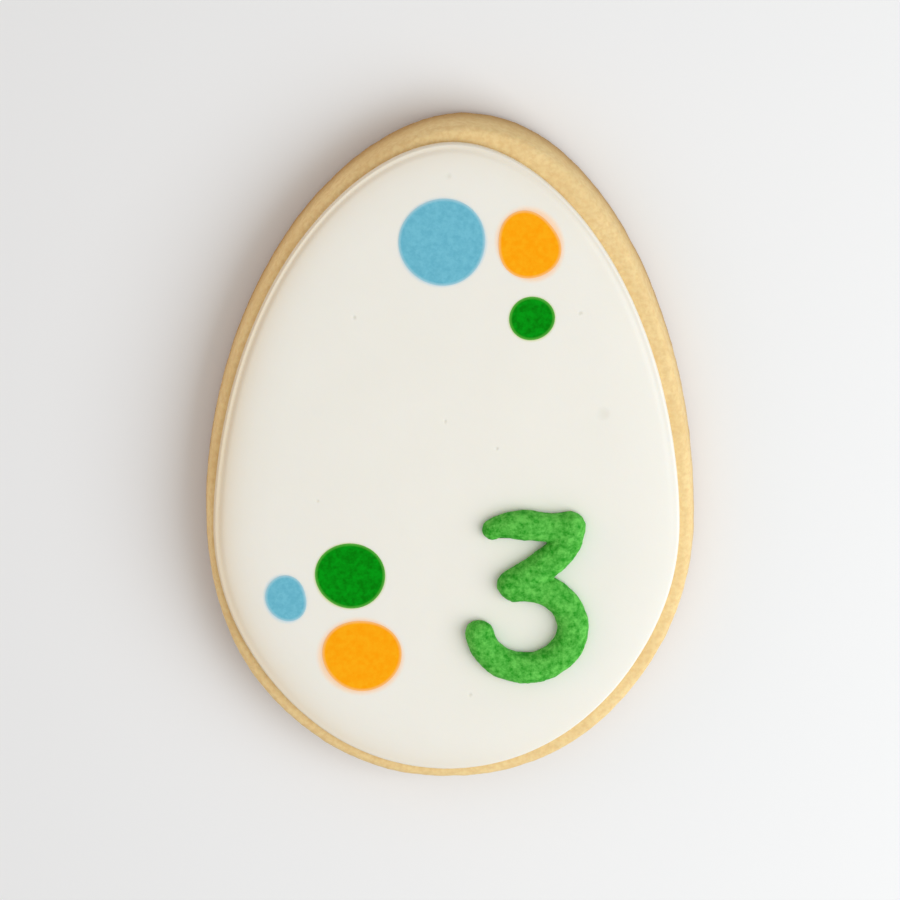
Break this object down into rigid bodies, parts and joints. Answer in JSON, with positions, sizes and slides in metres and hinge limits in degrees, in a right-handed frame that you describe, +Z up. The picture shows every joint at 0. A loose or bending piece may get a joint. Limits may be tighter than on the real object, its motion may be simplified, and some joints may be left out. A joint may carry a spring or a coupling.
{
  "type": "iced sugar cookie",
  "caption": "Egg-shaped sugar cookie with a smooth flood of white icing, flush blue, orange and green dots and a raised, piped green figure three.",
  "frame": {"origin": "on the underside, at the middle of the cookie's length and width", "axes": "+Z up out of the iced face, +Y towards the narrow end, +X towards the side that carries the figure"},
  "size_m": [0.0648, 0.09, 0.0119],
  "materials": {
    "baked_biscuit": "matte baked sugar dough, fine sandy crumb, slightly browned at the edge",
    "white_icing": "dried royal icing, smooth satin to matte, warm white",
    "blue_icing": "dried royal icing, satin, light blue",
    "orange_icing": "dried royal icing, satin, orange with a soft bleed at its edge",
    "green_icing": "dried royal icing, satin, deep green",
    "piped_green_icing": "piped royal icing, matte, slightly rough, mid green"
  },
  "bodies": {
    "root": {"biscuit": "baked_biscuit", "white_icing": "white_icing", "dot_blue_large": "blue_icing", "dot_blue_small": "blue_icing", "dot_orange_upper": "orange_icing", "dot_orange_lower": "orange_icing", "dot_green_upper": "green_icing", "dot_green_lower": "green_icing", "piped_numeral": "piped_green_icing"}
  },
  "joints": []
}
